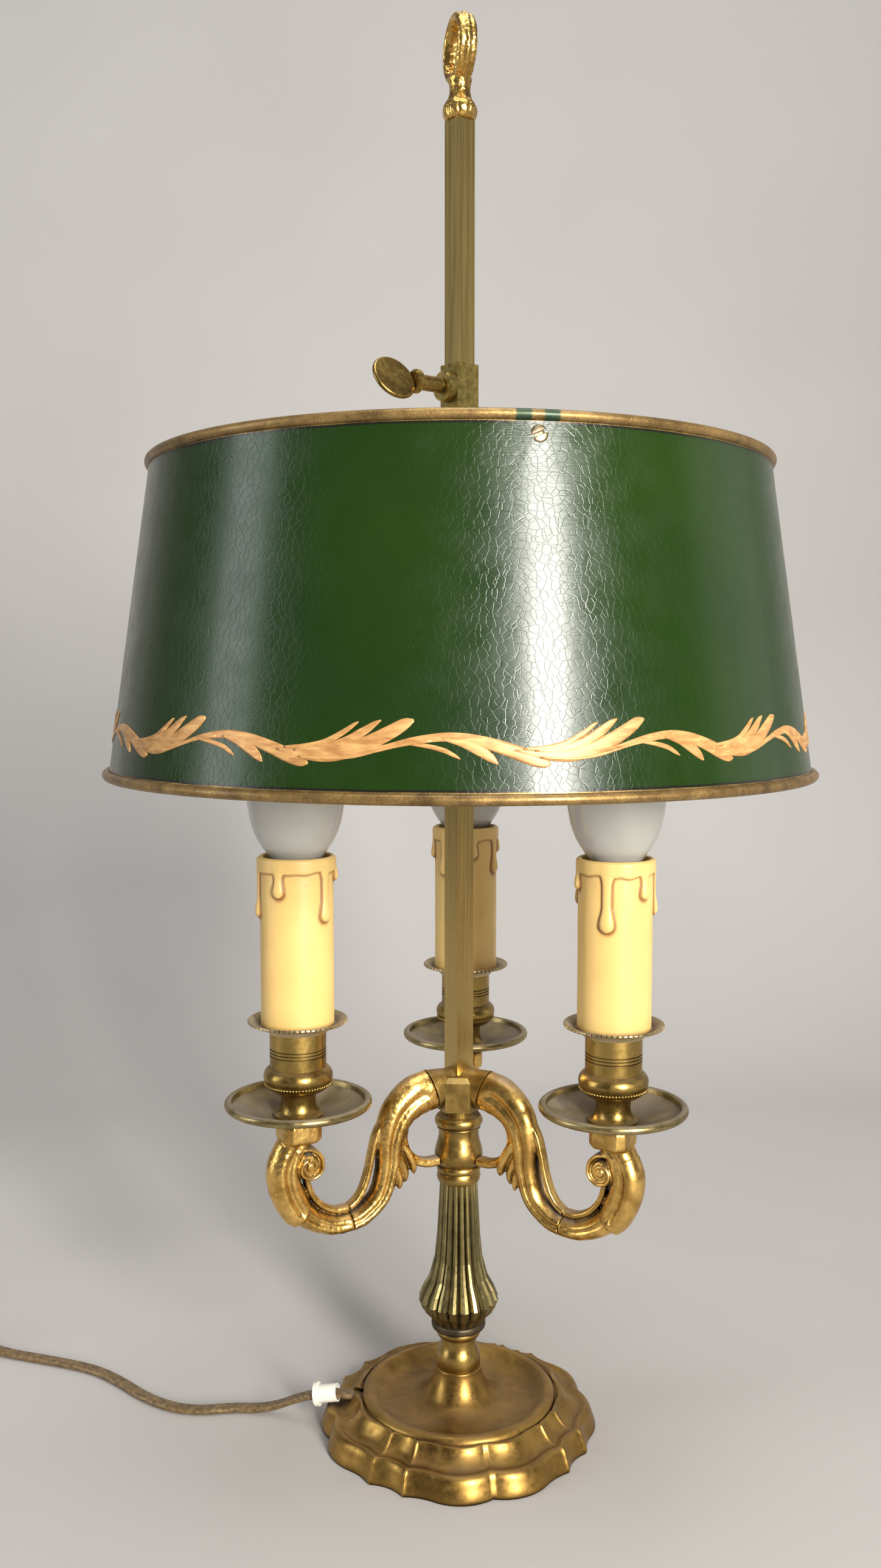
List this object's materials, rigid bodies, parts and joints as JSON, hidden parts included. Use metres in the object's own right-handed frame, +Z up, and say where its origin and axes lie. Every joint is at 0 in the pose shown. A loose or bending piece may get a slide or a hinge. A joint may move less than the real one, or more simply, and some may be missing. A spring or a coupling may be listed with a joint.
{
  "type": "bouillotte lamp",
  "caption": "Table lamp with candle arms on a fluted stem, a square rod above, and a wide painted metal shade that slides on the rod and is held by a thumb screw.",
  "frame": {"origin": "centre of the underside of the base, on the table under the stem axis", "axes": "+Z up along the stem and the rod, -Y towards the viewer of the picture, +X to that viewer's right"},
  "size_m": [0.5177, 0.2684, 0.5441],
  "materials": {
    "antique_brass": "cast brass with an aged bronze patina, polished on its high spots",
    "dark_bronze": "blackened bronze",
    "polished_brass": "polished brass, lightly tarnished",
    "bright_brass": "bright brass screws",
    "steel": "plain zinc-plated steel",
    "painted_tole": "dark green gloss paint with a gold leaf-scroll border and gold rims",
    "gold_flex": "translucent gold-coloured twin flex",
    "ivory_plastic": "ivory moulded plastic",
    "candle_plastic": "cream candle sleeves with wax drips",
    "black_plastic": "black moulded lampholder",
    "opal_glass": "opal glass",
    "cap_nickel": "nickel-plated screw cap"
  },
  "bodies": {
    "lamp": {"base_casting": "antique_brass", "base_washer": "steel", "base_nut": "steel", "tie_tube": "steel", "stem_foot": "antique_brass", "stem_vase": "antique_brass", "stem_ring": "dark_bronze", "fluted_baluster": "antique_brass", "collar_vase": "antique_brass", "hub": "antique_brass", "arm_inner_left": "antique_brass", "arm_outer_left": "antique_brass", "drip_pan_left": "antique_brass", "candle_cup_left": "antique_brass", "crown_left": "antique_brass", "nipple_left": "steel", "lampholder_left": "black_plastic", "candle_tube_left": "candle_plastic", "bulb_cap_left": "cap_nickel", "bulb_glass_left": "opal_glass", "arm_inner_right": "antique_brass", "arm_outer_right": "antique_brass", "drip_pan_right": "antique_brass", "candle_cup_right": "antique_brass", "crown_right": "antique_brass", "nipple_right": "steel", "lampholder_right": "black_plastic", "candle_tube_right": "candle_plastic", "bulb_cap_right": "cap_nickel", "bulb_glass_right": "opal_glass", "arm_inner_back": "antique_brass", "arm_outer_back": "antique_brass", "drip_pan_back": "antique_brass", "candle_cup_back": "antique_brass", "crown_back": "antique_brass", "nipple_back": "steel", "lampholder_back": "black_plastic", "candle_tube_back": "candle_plastic", "bulb_cap_back": "cap_nickel", "bulb_glass_back": "opal_glass", "square_rod": "polished_brass", "finial": "polished_brass", "cord_lead": "gold_flex", "cord_bush": "ivory_plastic", "switch_base": "ivory_plastic", "switch_cover": "ivory_plastic", "cord_tail": "gold_flex", "cord_coil": "gold_flex", "cord_end": "gold_flex", "plug_body": "ivory_plastic", "plug_pins": "polished_brass"},
    "shade_carrier": {"shade_sleeve": "polished_brass", "shade_spider": "polished_brass", "shade_shell": "painted_tole", "rim_wires": "steel", "shade_screws": "bright_brass", "shade_nuts": "steel"},
    "thumb_screw": {"thumb_screw": "antique_brass"},
    "switch_rocker": {"switch_rocker": "ivory_plastic"}
  },
  "joints": [
    {"name": "shade_height", "type": "slide", "parent": "lamp", "child": "shade_carrier", "axis": [0, 0, 1], "range_m": [-0.05, 0.085]},
    {"name": "thumb_screw_turn", "type": "hinge", "parent": "shade_carrier", "child": "thumb_screw", "pos_m": [-0.01565, -0.01245, 0.4084], "axis": [-0.7826, -0.6225, 0], "range_deg": [-30, 330]},
    {"name": "rocker_tilt", "type": "hinge", "parent": "lamp", "child": "switch_rocker", "pos_m": [-0.252, 0.06, 0.0114], "axis": [0, 1, 0], "range_deg": [-8, 8]}
  ]
}
